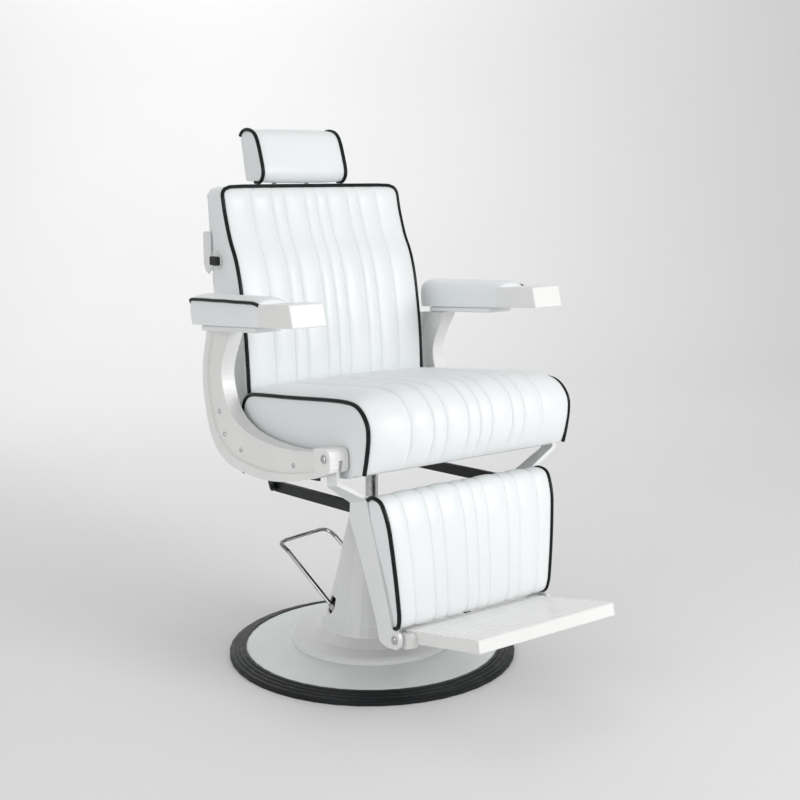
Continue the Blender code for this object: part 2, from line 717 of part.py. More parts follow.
def headrest_socket():
    """The block on the back shell that the two headrest posts slide through."""
    low, high = 0.9280, 0.9880
    centre = POST_FOOT + POST_RUN * ((low + high) / 2 - POST_FOOT.y)
    rear = centre.x + 0.010
    outline = [(0.3068, low), (rear - 0.003, low), (rear + 0.002, high), (0.3105, high)]
    block = side_plate("headrest_socket", outline, 2 * (POST_X + 0.016), 0, WHITE_METAL, "back")
    for side, sign in SIDES:
        add_cutter(block, "post_bore_" + side, rod_mesh(BORE_RADIUS, 0.120),
                   (sign * POST_X, *centre), (-HEAD_LEAN, 0, 0))


def recline_bracket():
    y, z = RELEASE_PIVOT
    outline = [(y - 0.010, z - 0.010), (y + 0.006, z - 0.022), (y + 0.036, z - 0.020),
               (y + 0.044, z + 0.016), (y + 0.016, z + 0.025), (y - 0.006, z + 0.008)]
    side_plate("recline_bracket", outline, 0.006, -(BACK_HALF_WIDTH + GAP + 0.003), WHITE_METAL,
               "back")


def release_lever():
    """A flat blade behind the bracket: lifting it frees the lock."""
    y, z = RELEASE_PIVOT
    outline = [(y - 0.007, z - 0.007), (y + 0.030, z - 0.012), (y + 0.052, z - 0.032),
               (y + 0.064, z - 0.026), (y + 0.072, z - 0.008), (y + 0.072, z + 0.058),
               (y + 0.066, z + 0.064), (y + 0.044, z + 0.064), (y + 0.040, z + 0.058),
               (y + 0.040, z + 0.012), (y + 0.030, z + 0.008), (y - 0.007, z + 0.008)]
    x = -(BACK_HALF_WIDTH + 2 * GAP + 0.006 + 0.0025)
    lever = side_plate("release_lever", outline, 0.005, x, WHITE_METAL, "release")
    bevel(lever, 0.0012, 1)


def release_block():
    y, z = RELEASE_PIVOT
    x = -(BACK_HALF_WIDTH + 3 * GAP + 0.011 + 0.006)
    block = add_piece("release_block", box_mesh((0.012, 0.030, 0.020)), BLACK_PLASTIC, "release",
                      (x, y + 0.008, z))
    bevel(block, 0.002, 1)


# Headrest

HEAD_FRONT = [(0.277, 1.073), (0.264, 1.092), (0.288, 1.160), (0.304, 1.180)]
HEAD_REAR = [(0.3255, 1.073), (0.345, 1.176)]


def headrest_pad():
    outline = [Vector(p) for p in HEAD_FRONT] + [Vector((0.325, 1.1865)), Vector((0.341, 1.1830))]
    outline += [Vector(p) for p in reversed(HEAD_REAR)]
    pad = side_plate("headrest_pad", outline, 2 * HEAD_HALF_WIDTH, 0, WHITE_VINYL, "headrest")
    bevel(pad, 0.008, 2)


def headrest_board():
    front = [Vector(p) + Vector((GAP, 0)) for p in HEAD_REAR]
    outline = front + [front[1] + Vector((0.018, -0.002)), front[0] + Vector((0.018, 0))]
    board = side_plate("headrest_board", outline, 2 * HEAD_HALF_WIDTH - 0.006, 0, WHITE_VINYL,
                       "headrest")
    bevel(board, 0.004, 2)


def headrest_post(side, sign):
    length = (1.073 - GAP * 2 - 0.0006 - POST_FOOT.y) / math.cos(HEAD_LEAN)
    centre = POST_FOOT + POST_RUN * (length / 2)
    add_piece("headrest_post_" + side, rod_mesh(PIN_RADIUS, length, 12), CHROME, "headrest",
              (sign * POST_X, *centre), (-HEAD_LEAN, 0, 0))


# Legrest

def leg_arm_x(height):
    """The middle of a legrest arm beside the pad: the two arms spread upward from the footplate."""
    return LEG_ARM_LOW_X + max(height - LEG_ARM_LOW_Z, 0) * LEG_ARM_SPLAY


def legrest_arm(side, sign):
    """A flat bar: upright in its clevis, turned in under it, then down behind the pad's edge."""
    upper = [((-0.2720, 0.5550), (-0.2900, 0.5550)), ((-0.2650, 0.5480), (-0.2960, 0.5480)),
             ((-0.2575, 0.5200), (-0.2900, 0.5200)), ((-0.2568, 0.4850), (-0.2935, 0.4935))]
    lower = [((-0.2400, 0.4380), (-0.2965, 0.4550)), ((-0.2330, 0.4010), (-0.3090, 0.4010)),
             ((-0.2620, 0.3260), (-0.3278, 0.3260)), ((-0.2850, 0.2510), (-0.3443, 0.2510)),
             ((-0.3020, 0.1980), (-0.3560, 0.1980)), ((-0.3030, 0.1920), (-0.3760, 0.1920)),
             ((-0.3080, 0.1700), (-0.3800, 0.1850)), ((-0.3150, 0.1590), (-0.3800, 0.1680)),
             ((-0.3350, 0.1540), (-0.3700, 0.1580))]
    stations = [(LEG_ARM_TOP_X, rear, front) for rear, front in upper]
    stations += [(leg_arm_x(rear[1]), rear, front) for rear, front in lower]
    mesh = bpy.data.meshes.new("legrest_arm")
    shape = bmesh.new()
    rows = [[shape.verts.new((sign * x, *place)) for place in edges] for x, *edges in stations]
    for (rear, front), (next_rear, next_front) in zip(rows, rows[1:]):
        shape.faces.new((rear, front, next_front, next_rear))
    bmesh.ops.translate(shape, vec=-Vector(AXES["legrest"][1]), verts=shape.verts)
    bmesh.ops.recalc_face_normals(shape, faces=shape.faces)
    shape.to_mesh(mesh)
    shape.free()
    arm = add_piece("legrest_arm_" + side, mesh, WHITE_METAL, "legrest", AXES["legrest"][1])
    shell = arm.modifiers.new("thickness", "SOLIDIFY")
    shell.thickness = LEG_ARM_THICKNESS
    shell.offset = 0
    shell.use_even_offset = True
    blind = leg_arm_x(LINK_FRONT[1]) - LEG_ARM_THICKNESS / 2 + LINK_PIN_DEPTH
    for name, place, x in (("arm_bore_", LEG_PIVOT, LEG_ARM_TOP_X),
                           ("link_pin_bore_", LINK_FRONT, blind - 0.010 + GAP),
                           ("foot_bore_", FOOT_PIVOT, LEG_ARM_LOW_X)):
        side_hole(arm, name + side, place, BORE_RADIUS, sign * x, 0.020)


PAD_OUTLINE = [(-0.3580, 0.1990), (-0.3715, 0.2120), (-0.3735, 0.2450), (-0.3650, 0.3760),
               (-0.3590, 0.4150), (-0.3430, 0.4520), (-0.3280, 0.4595), (-0.3000, 0.4545),
               (-0.2995, 0.4470), (-0.3302, 0.3180), (-0.3453, 0.2510)]
BOARD_TOP = Vector((-0.2990, 0.4450))
BOARD_FOOT = Vector((-0.3530, 0.2000))
BOARD_THICKNESS = 0.012


def legrest_pad():
    """A pad in front of the arms, narrower towards its foot."""
    mesh = outline_mesh(PAD_OUTLINE, 2.0)
    for vertex in mesh.vertices:
        vertex.co.z *= PAD_LOW_HALF + (vertex.co.y - PAD_LOW_Z) * PAD_SPLAY
    pad = add_piece("legrest_pad", mesh, WHITE_VINYL, "legrest", (0, 0, 0), SIDE_VIEW)
    bevel(pad, 0.004, 2)


def legrest_board():
    """A plate behind the pad, narrower towards its foot, that fills the space between the arms."""
    up = BOARD_TOP - BOARD_FOOT
    behind = Vector((up.y, -up.x)).normalized() * (BOARD_THICKNESS / 2 + GAP)
    middle = (BOARD_TOP + BOARD_FOOT) / 2 + behind
    outline = []
    for sign in (-1, 1):
        for end in (-sign, sign):
            height = BOARD_FOOT.y if end < 0 else BOARD_TOP.y
            half = leg_arm_x(height) - LEG_ARM_THICKNESS / 2 - 0.0022
            outline.append((sign * half, end * up.length / 2))
    add_piece("legrest_board", outline_mesh(outline, BOARD_THICKNESS), BLACK_METAL, "legrest",
              (0, *middle), (math.atan2(up.y, up.x), 0, 0))


def link(side, sign):
    """A flat bar from the back frame's lug to the legrest arm, with its two pins."""
    bar = side_plate("link_" + side, strap([LINK_REAR, LINK_FRONT], 0.0120), LINK_THICKNESS,
                     sign * LINK_X, BLACK_METAL, "links")
    face = LINK_X + LINK_THICKNESS / 2
    front_reach = leg_arm_x(LINK_FRONT[1]) - LEG_ARM_THICKNESS / 2 + LINK_PIN_DEPTH - face
    for end, place, reach in (("rear", LINK_REAR, 0.012), ("front", LINK_FRONT, front_reach)):
        pin = rod_mesh(PIN_RADIUS, reach + 0.004, 12)
        x = sign * (face + reach / 2 - 0.002)
        add_cutter(bar, f"pin_{end}_{side}", pin, (x, *place), (0, math.pi / 2, 0), keep=True)


# Footplate

PLATE_PLACE = (-0.393, 0.199)


def foot_place(along, height):
    """A place on the footplate: forward from a place near its rear, and above its top."""
    y, z = PLATE_PLACE
    return (y - along * math.cos(FOOT_TILT) + height * math.sin(FOOT_TILT),
            z + along * math.sin(FOOT_TILT) + height * math.cos(FOOT_TILT))


def footplate():
    """A cast plate with ribs across its top, hollow underneath."""
    rear, front, thick, ribs, depth = -0.042, 0.200, 0.026, 12, 0.0022
    pitch = (front - rear) / ribs
    top = []
    for rib in range(ribs):
        start = rear + rib * pitch
        top += [(start, -depth), (start + 0.22 * pitch, 0), (start + 0.78 * pitch, 0),
                (start + pitch - 0.0004, -depth)]
    outline = top + [(front, -thick), (rear + FOOT_WALL, -thick), (rear, FOOT_WALL - thick)]
    plate = side_plate("footplate", [foot_place(*p) for p in outline], 2 * FOOT_HALF_WIDTH, 0,
                       WHITE_METAL, "footplate")
    pocket = box_mesh((2 * (FOOT_HALF_WIDTH - FOOT_WALL), front - rear - 2 * FOOT_WALL - 0.004,
                       2 * (thick - depth - FOOT_WALL)))
    add_cutter(plate, "foot_pocket", pocket, (0, *foot_place((rear + front) / 2 + 0.002, -thick)),
               (-FOOT_TILT, 0, 0))


def foot_bracket(side, sign):
    """A cheek on the footplate's end with a hinge barrel that reaches the legrest arm."""
    inner = FOOT_HALF_WIDTH + GAP
    cheek = [foot_place(*p) for p in ((-0.044, -0.004), (0.004, -0.004), (0.010, -0.012),
                                      (0.006, -0.032), (-0.020, -0.036), (-0.040, -0.030),
                                      (-0.048, -0.016))]
    width = 0.012
    bracket = side_plate("foot_bracket_" + side, cheek, width, sign * (inner + width / 2),
                         WHITE_METAL, "footplate")
    end = LEG_ARM_LOW_X - LEG_ARM_THICKNESS / 2 - GAP
    start = inner + width - 0.002
    add_cutter(bracket, "barrel_" + side, rod_mesh(0.0110, end - start, 16),
               (sign * (start + end) / 2, *FOOT_PIVOT), (0, math.pi / 2, 0), keep=True)
    side_hole(bracket, "barrel_bore_" + side, FOOT_PIVOT, BORE_RADIUS, sign * (end - 0.008), 0.030)


def foot_bolt(side, sign):
    bolt("foot_bolt_" + side, "legrest", FOOT_PIVOT, sign, PIN_RADIUS, 0.022, 0.0085, 0.004,
         LEG_ARM_LOW_X + LEG_ARM_THICKNESS / 2 + GAP)


def build():
    base_disc()
    base_ring()
    pedestal_cone()
    pump_cylinder()
    cylinder_gland()
    lever_bracket()
    pump_lever()
    lever_shaft()
    lift_ram()
    swivel_hub()
    seat_frame()
    seat_board()
    seat_pad()
    lock_cylinder()
    lock_rod()
    back_frame()
    back_pad()
    back_shell()
    headrest_socket()
    recline_bracket()
    release_lever()
    release_block()
    headrest_pad()
    headrest_board()
    legrest_pad()
    legrest_board()
    footplate()
    for side, sign in SIDES:
        arm_frame(side, sign)
        frame_screws(side, sign)
        pivot_housing(side, sign)
        legrest_bolt(side, sign)
        back_bolt(side, sign)
        armrest(side, sign)
        headrest_post(side, sign)
        legrest_arm(side, sign)
        link(side, sign)
        foot_bracket(side, sign)
        foot_bolt(side, sign)


build()
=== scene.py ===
"""Hydraulic barber chair: upholstery, piping, finishes and a studio around the CAD frame."""
import json
import math

import bmesh
import bpy
import numpy as np
from mathutils import Matrix, Vector


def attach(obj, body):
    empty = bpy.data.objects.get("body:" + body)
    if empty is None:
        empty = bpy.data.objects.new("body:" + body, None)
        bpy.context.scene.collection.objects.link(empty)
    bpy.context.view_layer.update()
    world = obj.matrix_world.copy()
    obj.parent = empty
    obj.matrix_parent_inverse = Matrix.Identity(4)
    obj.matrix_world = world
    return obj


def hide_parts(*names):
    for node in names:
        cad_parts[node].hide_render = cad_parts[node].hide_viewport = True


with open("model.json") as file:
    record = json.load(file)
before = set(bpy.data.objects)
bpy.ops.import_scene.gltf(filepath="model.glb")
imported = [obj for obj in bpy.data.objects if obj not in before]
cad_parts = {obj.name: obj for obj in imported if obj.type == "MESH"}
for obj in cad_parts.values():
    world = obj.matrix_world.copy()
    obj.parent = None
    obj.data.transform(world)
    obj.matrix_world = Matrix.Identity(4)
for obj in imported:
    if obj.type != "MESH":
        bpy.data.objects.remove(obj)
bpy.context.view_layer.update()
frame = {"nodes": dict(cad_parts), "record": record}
NODES = frame["nodes"]

# Sizes in metres, in the chair's frame: the sitter faces -Y
PIPING = 0.0044
SEAT_HALF = 0.262
BACK_HALF = 0.240
HEAD_HALF = 0.1135
ARM_CENTRE = 0.314
LEG_HALF = 0.2135
LEG_LOW_HALF = 0.2014
LEG_LOW_Z = 0.242
LEG_SPLAY = 0.088
PIPE_ARM = PIPING * 0.85
SEAMS = (-0.172, -0.119, -0.086, -0.031, 0.0, 0.031, 0.086, 0.119, 0.172)
SIDES = (("left", -1), ("right", 1))


# Lines

def flowing(points, count):
    """Evenly spaced places, count + 1 of them, on a smooth line through the points."""
    p = np.array([points[0], *points, points[-1]], float)
    line = []
    for a, b, c, d in zip(p, p[1:], p[2:], p[3:]):
        for t in np.arange(0, 1, 1 / 12):
            line.append((2 * b + (c - a) * t + (2 * a - 5 * b + 4 * c - d) * t ** 2
                         + (3 * b - a - 3 * c + d) * t ** 3) / 2)
    line = np.array([*line, p[-1]])
    run = np.concatenate([[0], np.cumsum(np.linalg.norm(np.diff(line, axis=0), axis=1))])
    at = np.linspace(0, run[-1], count + 1)
    return np.stack([np.interp(at, run, line[:, k]) for k in range(line.shape[1])], axis=1)


def outward(line):
    """Unit normals of a (y, z) line, to its left as it is followed."""
    run = np.gradient(line, axis=0)
    run /= np.linalg.norm(run, axis=1)[:, None]
    return np.stack([-run[:, 1], run[:, 0]], axis=1)


def wave(x, y, z):
    """Slow, even unevenness between -1 and 1, the same at every run."""
    return (np.sin(41 * x + 23 * z + 2.1 * np.sin(17 * y))
            + np.sin(67 * z - 31 * y + 1.7 * np.sin(29 * x))
            + np.sin(53 * y + 37 * x - 19 * z)) / 3


# Cushions

def columns(half, seams, pitch=0.008):
    """Shares of the half width from -1 to 1, close together beside each seam."""
    near = (0.0, 0.0010, 0.0022, 0.0038, 0.0060, 0.0090)
    wanted = set()
    for seam in (*seams, -half, half):
        for step in near:
            wanted.update((round(seam - step, 5), round(seam + step, 5)))
    places = sorted(x for x in wanted if abs(x) <= half)
    filled = [places[0]]
    for place in places[1:]:
        gap = place - filled[-1]
        if gap < 0.0008:
            continue
        extra = int(gap // pitch)
        filled += [filled[-1] + gap * (k + 1) / (extra + 1) for k in range(extra)]
        filled.append(place)
    filled[-1] = half
    return np.array(filled) / half


def channel(x, edges, height):
    """How far sewn channels puff up at x: full between two seams, nothing on a seam."""
    puff = np.zeros_like(x)
    for start, end in zip(edges, edges[1:]):
        inside = (x >= start) & (x <= end)
        width = end - start
        share = np.clip((x - start) / width, 0, 1)
        rise = (1 - np.abs(2 * share - 1) ** 2.2) ** 0.62
        puff = np.where(inside, rise * height * min(1.0, width / 0.055) ** 0.5, puff)
    return puff


def grid_faces(rows, cols, first):
    return [(first + r * cols + c, first + r * cols + c + 1,
             first + (r + 1) * cols + c + 1, first + (r + 1) * cols + c)
            for r in range(rows - 1) for c in range(cols - 1)]


def finished(name, mesh, merge=None, sharp=48.0):
    """An object of a mesh whose faces all turn outward, smooth but for its sharp edges."""
    shape = bmesh.new()
    shape.from_mesh(mesh)
    if merge:
        bmesh.ops.remove_doubles(shape, verts=shape.verts, dist=merge)
        bmesh.ops.dissolve_degenerate(shape, edges=shape.edges, dist=merge / 2)
    bmesh.ops.recalc_face_normals(shape, faces=shape.faces)
    shape.to_mesh(mesh)
    shape.free()
    mesh.shade_smooth()
    mesh.set_sharp_from_angle(angle=math.radians(sharp))
    piece = bpy.data.objects.new(name, mesh)
    bpy.context.scene.collection.objects.link(piece)
    return piece


def closed_mesh(name, grids):
    """One closed form from grids of places whose borders meet."""
    verts, faces = [], []
    for grid in grids:
        rows, cols = grid.shape[:2]
        faces += grid_faces(rows, cols, len(verts))
        verts += [tuple(p) for p in grid.reshape(-1, 3)]
    mesh = bpy.data.meshes.new(name)
    mesh.from_pydata(verts, [], faces)
    return finished(name, mesh, merge=0.00004)


def cushion(name, face, rear, half, crown, side_bulge, seams=(), puff=0.0, rows=90,
            depth_steps=14, taper=None, corner=(0, 0), end_fade=(0.03, 0.03), slack=0.0006):
    """A stuffed form between a face line and a rear line, both (y, z), with crowned sides.

    taper gives the half width at a height. corner gives the radius of the outline at the face
    line's two ends, and end_fade how far from each end the crown reaches its full height.
    """
    front = flowing(face, rows)
    back = flowing(rear, rows)
    run = np.concatenate([[0], np.cumsum(np.linalg.norm(np.diff(front, axis=0), axis=1))])
    length = run[-1]
    normal = outward(front)
    share = columns(half, seams)
    edges = (-half, *seams, half)

    width = np.array([taper(z) if taper else half for z in front[:, 1]])
    for radius, distance in ((corner[0], run), (corner[1], length - run)):
        if radius:
            short = np.clip(radius - distance, 0, radius)
            width = width - (radius - np.sqrt(np.maximum(radius ** 2 - short ** 2, 0)))

    def fade(distance, reach):
        t = np.clip(distance / reach, 0, 1)
        return np.sin(t * math.pi / 2) ** 0.8

    ends = fade(run, end_fade[0]) * fade(length - run, end_fade[1])
    s, w = np.meshgrid(share, width)
    dome = (1 - np.abs(s) ** 3.2) ** 0.75
    lift = ends[:, None] * (crown * dome + channel(s * half, edges, puff))
    x = s * w
    fy, fz = front[:, 0][:, None], front[:, 1][:, None]
    lift = lift + ends[:, None] * dome * slack * wave(x * 2.2, fy * 1.1 + run[:, None], fz * 1.4)
    face_grid = np.stack([x, fy + lift * normal[:, 0][:, None],
                          fz + lift * normal[:, 1][:, None]], axis=2)
    rear_grid = np.stack([x, np.broadcast_to(back[:, 0][:, None], x.shape),
                          np.broadcast_to(back[:, 1][:, None], x.shape)], axis=2)

    depth = (1 - np.cos(np.linspace(0, math.pi, depth_steps + 1))) / 2
    d, _ = np.meshgrid(depth, run)
    y = front[:, 0][:, None] * (1 - d) + back[:, 0][:, None] * d
    z = front[:, 1][:, None] * (1 - d) + back[:, 1][:, None] * d
    thick = np.linalg.norm(back - front, axis=1)[:, None]
    swell = side_bulge * np.clip(thick / 0.06, 0, 1) * (4 * d * (1 - d)) ** 0.7
    swell = swell * ends[:, None] ** 0.8
    swell = swell + slack * (4 * d * (1 - d)) * wave(d * 0.05, y * 1.7, z * 1.3)
    side_grids = [np.stack([sign * (width[:, None] + swell), y, z], axis=2)
                  for sign in (-1, 1)]

    end_grids = []
    for row in (0, -1):
        e, q = np.meshgrid(share, depth)
        along = (front[row] - front[1 if row == 0 else -2])
        along = along / np.linalg.norm(along)
        gap = np.linalg.norm(back[row] - front[row])
        push = min(0.006, gap * 0.12) * (4 * q * (1 - q)) ** 0.7 * (1 - np.abs(e) ** 4)
        ey = front[row, 0] * (1 - q) + back[row, 0] * q + push * along[0]
        ez = front[row, 1] * (1 - q) + back[row, 1] * q + push * along[1]
        end_grids.append(np.stack([e * width[row], ey, ez], axis=2))
    piece = closed_mesh(name, [face_grid, rear_grid, *side_grids, *end_grids])
    return piece, front, normal, width


def tube(name, points, radius, material, body):
    """A round cord laid along the points, such as piping."""
    curve = bpy.data.curves.new(name, "CURVE")
    curve.dimensions = "3D"
    curve.bevel_depth = radius
    curve.bevel_resolution = 3
    curve.use_fill_caps = True
    spline = curve.splines.new("POLY")
    spline.points.add(len(points) - 1)
    for point, place in zip(spline.points, points):
        point.co = (*place, 1)
    curve.materials.append(material)
    holder = bpy.data.objects.new(name + "_line", curve)
    bpy.context.scene.collection.objects.link(holder)
    bpy.context.view_layer.update()
    mesh = bpy.data.meshes.new_from_object(holder.evaluated_get(bpy.context.evaluated_depsgraph_get()))
    bpy.data.objects.remove(holder, do_unlink=True)
    mesh.name = name
    mesh.shade_smooth()
    piece = bpy.data.objects.new(name, mesh)
    bpy.context.scene.collection.objects.link(piece)
    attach(piece, body)
    return piece


def side_piping(name, front, normal, width, body, sign):
    """Piping along one side edge of a cushion's face."""
    places = front + normal * PIPING * 0.35
    points = [(sign * (half + PIPING * 0.15), y, z) for half, (y, z) in zip(width, places)]
    return tube(name, points, PIPING, PIPE, body)


# Finishes

class Finish:
    """A node material whose links vary its colour, roughness and relief."""

    def __init__(self, name, metallic=0.0, coat=0.0, coat_roughness=0.1, sheen=0.0, ior=1.5,
                 specular=0.5):
        self.material = bpy.data.materials.new(name)
        self.material.use_nodes = True
        self.tree = self.material.node_tree
        self.shader = self.tree.nodes["Principled BSDF"]
        self.shader.inputs["Metallic"].default_value = metallic
        self.shader.inputs["Coat Weight"].default_value = coat
        self.shader.inputs["Coat Roughness"].default_value = coat_roughness
        self.shader.inputs["Sheen Weight"].default_value = sheen
        self.shader.inputs["IOR"].default_value = ior
        self.shader.inputs["Specular IOR Level"].default_value = specular
        self.place = self.add("ShaderNodeTexCoord").outputs["Object"]
        self.relief = None

    def add(self, kind, **values):
        node = self.tree.nodes.new(kind)
        for key, value in values.items():
            setattr(node, key, value)
        return node

    def join(self, source, target):
        self.tree.links.new(source, target)

    def stretched(self, scale):
        node = self.add("ShaderNodeMapping")
        node.inputs["Scale"].default_value = scale
        self.join(self.place, node.inputs["Vector"])
        return node.outputs["Vector"]

    def noise(self, scale, detail=3.0, stretch=(1, 1, 1)):
        node = self.add("ShaderNodeTexNoise")
        node.inputs["Scale"].default_value = scale
        node.inputs["Detail"].default_value = detail
        self.join(self.stretched(stretch), node.inputs["Vector"])
        return node.outputs["Fac"]

    def ranged(self, source, low, high, start=0.3, end=0.7):
        node = self.add("ShaderNodeMapRange")
        node.inputs["From Min"].default_value = start
        node.inputs["From Max"].default_value = end
        node.inputs["To Min"].default_value = low
        node.inputs["To Max"].default_value = high
        self.join(source, node.inputs["Value"])
        return node.outputs["Result"]

    def colour(self, first, second, source):
        node = self.add("ShaderNodeMix", data_type="RGBA")
        node.inputs[6].default_value = (*first, 1)
        node.inputs[7].default_value = (*second, 1)
        self.join(self.ranged(source, 0, 1), node.inputs[0])
        self.join(node.outputs[2], self.shader.inputs["Base Color"])
        return self

    def roughness(self, low, high, source):
        self.join(self.ranged(source, low, high), self.shader.inputs["Roughness"])
        return self

    def bump(self, source, distance, strength=1.0):
        node = self.add("ShaderNodeBump")
        node.inputs["Strength"].default_value = strength
        node.inputs["Distance"].default_value = distance
        self.join(source, node.inputs["Height"])
        if self.relief:
            self.join(self.relief, node.inputs["Normal"])
        self.relief = node.outputs["Normal"]
        self.join(self.relief, self.shader.inputs["Normal"])
        return self

    def pebbles(self, scale):
        node = self.add("ShaderNodeTexVoronoi", feature="SMOOTH_F1")
        node.inputs["Scale"].default_value = scale
        self.join(self.place, node.inputs["Vector"])
        return node.outputs["Distance"]


def white_vinyl():
    look = Finish("white_vinyl", coat=0.12, coat_roughness=0.35, sheen=0.05, ior=1.48)
    look.colour((0.815, 0.845, 0.855), (0.850, 0.872, 0.880), look.noise(7, 4))
    look.roughness(0.36, 0.50, look.noise(26, 5))
    look.bump(look.noise(22, 4), 0.0009, 0.35)
    look.bump(look.pebbles(620), 0.00035, 0.35)
    return look.material


def white_powder(name, first, second):
    look = Finish(name, coat=0.25, coat_roughness=0.22)
    look.colour(first, second, look.noise(9, 4))
    look.roughness(0.30, 0.44, look.noise(38, 4))
    look.bump(look.noise(420, 2), 0.00018, 0.30)
    return look.material


def white_gloss():
    look = Finish("white_gloss_shell", coat=0.45, coat_roughness=0.12)
    look.colour((0.780, 0.800, 0.810), (0.820, 0.836, 0.844), look.noise(6, 3))
    look.roughness(0.26, 0.30, look.noise(30, 4))
    look.bump(look.noise(180, 2), 0.00006, 0.08)
    return look.material


def black_piping():
    look = Finish("black_piping", coat=0.03, coat_roughness=0.25, specular=0.22)
    look.colour((0.0025, 0.0040, 0.0040), (0.0050, 0.0075, 0.0075), look.noise(60, 3))
    look.roughness(0.22, 0.36, look.noise(90, 3))
    look.bump(look.noise(900, 2), 0.00008, 0.3)
    return look.material


def black_rubber():
    look = Finish("black_rubber", coat=0.02, coat_roughness=0.4, specular=0.28)
    look.colour((0.0050, 0.0065, 0.0075), (0.0110, 0.0130, 0.0145), look.noise(11, 5))
    look.roughness(0.36, 0.52, look.noise(48, 4))
    look.bump(look.noise(500, 3), 0.00015, 0.35)
    return look.material


def black_enamel():
    look = Finish("black_enamel", coat=0.04, coat_roughness=0.28, specular=0.30)
    look.colour((0.0045, 0.0075, 0.0070), (0.0090, 0.0130, 0.0120), look.noise(14, 4))
    look.roughness(0.34, 0.48, look.noise(55, 4))
    look.bump(look.noise(450, 2), 0.00015, 0.3)
    return look.material


def black_moulding():
    look = Finish("black_moulding", specular=0.3)
    look.colour((0.014, 0.014, 0.015), (0.024, 0.024, 0.025), look.noise(80, 3))
    look.roughness(0.38, 0.52, look.noise(160, 3))
    look.bump(look.noise(1400, 2), 0.00008, 0.4)
    return look.material


def chrome():
    look = Finish("chrome_plate", metallic=1.0)
    look.colour((0.330, 0.330, 0.325), (0.400, 0.400, 0.395), look.noise(20, 3))
    look.roughness(0.06, 0.13, look.noise(70, 4))
    look.bump(look.noise(300, 2), 0.00005, 0.2)
    return look.material


def steel():
    look = Finish("bright_steel", metallic=1.0)
    look.colour((0.470, 0.480, 0.485), (0.600, 0.605, 0.610), look.noise(120, 3))
    look.roughness(0.20, 0.36, look.noise(600, 3, (1, 1, 0.05)))
    look.bump(look.noise(1500, 2, (1, 1, 0.04)), 0.00004, 0.3)
    return look.material


def plywood():
    look = Finish("plywood")
    look.colour((0.400, 0.270, 0.150), (0.560, 0.410, 0.250), look.noise(60, 6, (1, 0.08, 6)))
    look.roughness(0.55, 0.72, look.noise(90, 4))
    look.bump(look.noise(140, 5, (1, 0.1, 4)), 0.0003, 0.4)
    return look.material


VINYL = white_vinyl()
PIPE = black_piping()
FINISHES = {
    "white_metal": white_powder("white_powder_coat", (0.790, 0.800, 0.800), (0.830, 0.838, 0.838)),
    "white_casting": white_powder("white_casting_coat", (0.810, 0.812, 0.800), (0.850, 0.850, 0.838)),
    "white_shell": white_gloss(),
    "white_vinyl": VINYL,
    "white_vinyl_board": VINYL,
    "rubber": black_rubber(),
    "chrome": chrome(),
    "steel": steel(),
    "black_metal": black_enamel(),
    "black_plastic": black_moulding(),
    "plywood": plywood(),
}


BASE_COAT = white_powder("base_powder_coat", (0.750, 0.805, 0.800), (0.790, 0.845, 0.838))


def dress_cad():
    """Gives every CAD node its finish, and softens the edges of the nodes named in edges."""
    slots = {part["node"]: part["material_slot"] for part in frame["record"]["subparts"]}
    edges = {"arm_frame": 0.0016, "pivot_housing": 0.0014, "footplate": 0.0008, "legrest_arm": 0.0012,
             "foot_bracket": 0.0012, "link": 0.0010, "headrest_socket": 0.0015,
             "recline_bracket": 0.0012, "seat_frame": 0.0010, "arm_plate": 0.0008}
    for name, node in NODES.items():
        for index in range(max(1, len(node.material_slots))):
            if node.material_slots:
                node.material_slots[index].material = FINISHES[slots[name]]
            else:
                node.data.materials.append(FINISHES[slots[name]])
            if name == "base_disc":
                node.material_slots[index].material = BASE_COAT
        for key, size in edges.items():
            if name.startswith(key):
                step = node.modifiers.new("edges", "BEVEL")
                step.width = size
                step.segments = 2
                step.limit_method = "ANGLE"
                step.angle_limit = math.radians(38)
                step.harden_normals = True


def cover(piece, body, *nodes, fill=0.92):
    piece.data.materials.append(VINYL)
    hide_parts(*nodes)
    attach(piece, body)


# Upholstery

def seat_cushion():
    face = [(-0.344, 0.519), (-0.351, 0.546), (-0.358, 0.590), (-0.354, 0.619), (-0.331, 0.643),
            (-0.298, 0.651), (-0.228, 0.647), (-0.078, 0.631), (0.036, 0.620), (0.088, 0.612),
            (0.112, 0.592), (0.119, 0.560)]
    rear = [(-0.339, 0.5165), (-0.310, 0.5100), (-0.285, 0.4995), (-0.200, 0.4910),
            (0.000, 0.4720), (0.110, 0.4615)]
    piece, front, normal, width = cushion("seat_cushion", face, rear, SEAT_HALF, 0.020, 0.004,
                                          SEAMS, 0.0070, rows=120, end_fade=(0.07, 0.16))
    cover(piece, "seat", "seat_pad")
    for side, sign in SIDES:
        side_piping("seat_piping_" + side, front, normal, width, "seat", sign)


